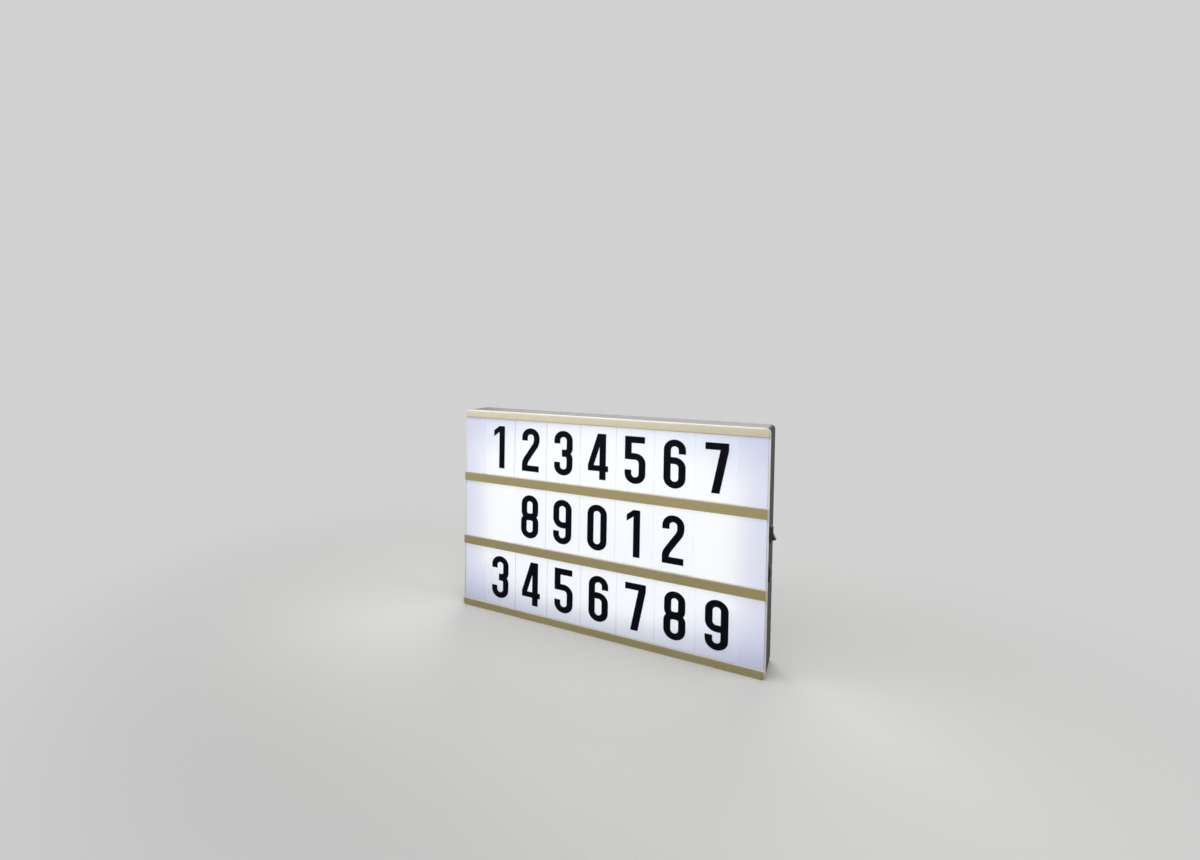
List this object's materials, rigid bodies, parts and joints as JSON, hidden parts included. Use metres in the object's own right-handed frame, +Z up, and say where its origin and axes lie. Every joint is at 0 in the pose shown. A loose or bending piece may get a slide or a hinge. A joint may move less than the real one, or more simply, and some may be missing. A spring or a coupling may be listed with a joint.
{
  "type": "cinema light box",
  "caption": "Shallow lit box with an opal front and three grooved rails that hold sliding clear tiles, with a side rocker switch and a rear battery bay.",
  "frame": {"origin": "middle of the base, on the surface the box stands on", "axes": "+Z up, -Y out of the lit front, +X towards the side with the switch and the power inlet"},
  "size_m": [0.305, 0.05, 0.22],
  "materials": {
    "frame_plastic": "satin moulded",
    "opal_panel": "opal, evenly lit",
    "housing_plastic": "fine moulded texture",
    "clear_film": "clear film",
    "screw_steel": "zinc plated",
    "plated_steel": "nickel plated",
    "white_board": "white solder mask",
    "led_resin": "moulded resin",
    "resistor_ceramic": "ceramic",
    "black_plastic": "semi-gloss moulded",
    "red_wire": "soft sleeve",
    "black_wire": "soft sleeve"
  },
  "bodies": {
    "box": {"front_frame": "frame_plastic", "diffuser_panel": "opal_panel", "rear_housing": "housing_plastic", "housing_screws": "screw_steel", "contact_plates": "plated_steel", "contact_springs": "plated_steel", "led_board_lower": "white_board", "led_board_upper": "white_board", "leds_lower": "led_resin", "leds_upper": "led_resin", "led_resistors": "resistor_ceramic", "board_screws": "screw_steel", "switch_body": "black_plastic", "switch_terminals": "plated_steel", "power_inlet": "black_plastic", "inlet_contacts": "plated_steel", "wires_red": "red_wire", "wires_black": "black_wire"},
    "top_tiles": {"tile_1_1": "clear_film", "tile_1_2": "clear_film", "tile_1_3": "clear_film", "tile_1_4": "clear_film", "tile_1_5": "clear_film", "tile_1_6": "clear_film", "tile_1_7": "clear_film"},
    "middle_tiles": {"tile_2_1": "clear_film", "tile_2_2": "clear_film", "tile_2_3": "clear_film", "tile_2_4": "clear_film", "tile_2_5": "clear_film"},
    "bottom_tiles": {"tile_3_1": "clear_film", "tile_3_2": "clear_film", "tile_3_3": "clear_film", "tile_3_4": "clear_film", "tile_3_5": "clear_film", "tile_3_6": "clear_film", "tile_3_7": "clear_film"},
    "cover": {"battery_cover": "housing_plastic"},
    "rocker": {"switch_rocker": "black_plastic"}
  },
  "joints": [
    {"name": "top_tiles_slide", "type": "slide", "parent": "box", "child": "top_tiles", "axis": [1, 0, 0], "range_m": [-0.022, 0.022]},
    {"name": "middle_tiles_slide", "type": "slide", "parent": "box", "child": "middle_tiles", "axis": [1, 0, 0], "range_m": [-0.058, 0.058]},
    {"name": "bottom_tiles_slide", "type": "slide", "parent": "box", "child": "bottom_tiles", "axis": [1, 0, 0], "range_m": [-0.0245, 0.0195]},
    {"name": "cover_hinge", "type": "hinge", "parent": "box", "child": "cover", "pos_m": [0, 0.023, 0.0136], "axis": [-1, 0, 0], "range_deg": [0, 90]},
    {"name": "rocker_pivot", "type": "hinge", "parent": "box", "child": "rocker", "pos_m": [0.1505, -0.0102, 0.126], "axis": [0, 1, 0], "range_deg": [0, 26]}
  ]
}
